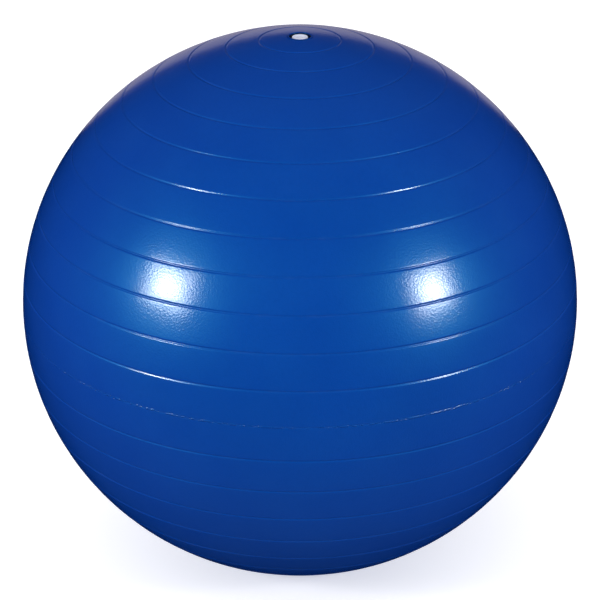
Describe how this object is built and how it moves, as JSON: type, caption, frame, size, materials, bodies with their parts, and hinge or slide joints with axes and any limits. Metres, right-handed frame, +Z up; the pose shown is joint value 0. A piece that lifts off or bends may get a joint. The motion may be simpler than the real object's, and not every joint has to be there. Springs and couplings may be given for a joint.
{
  "type": "exercise ball",
  "caption": "Large inflated exercise ball of soft blue PVC with moulded ring grooves around its axis, a recessed valve seat at the top and a white push-in plug.",
  "frame": {"origin": "centre of the flat patch at the bottom pole, on which the ball rests", "axes": "+Z up along the valve's axis, from the resting patch to the plug; X and Y are alike, because the ball is round about Z"},
  "size_m": [0.65, 0.65, 0.6476],
  "materials": {
    "skin_pvc": "semi-gloss soft PVC with a fine leathery grain",
    "valve_pvc": "satin soft PVC, the same colour as the skin",
    "plug_plastic": "white moulded polyethylene with a soft gloss"
  },
  "bodies": {
    "ball": {"ball_skin": "skin_pvc", "valve_seat": "valve_pvc"},
    "plug": {"valve_plug": "plug_plastic"}
  },
  "joints": [
    {"name": "plug_pull", "type": "slide", "parent": "ball", "child": "plug", "axis": [0, 0, 1], "range_m": [0, 0.04]}
  ]
}
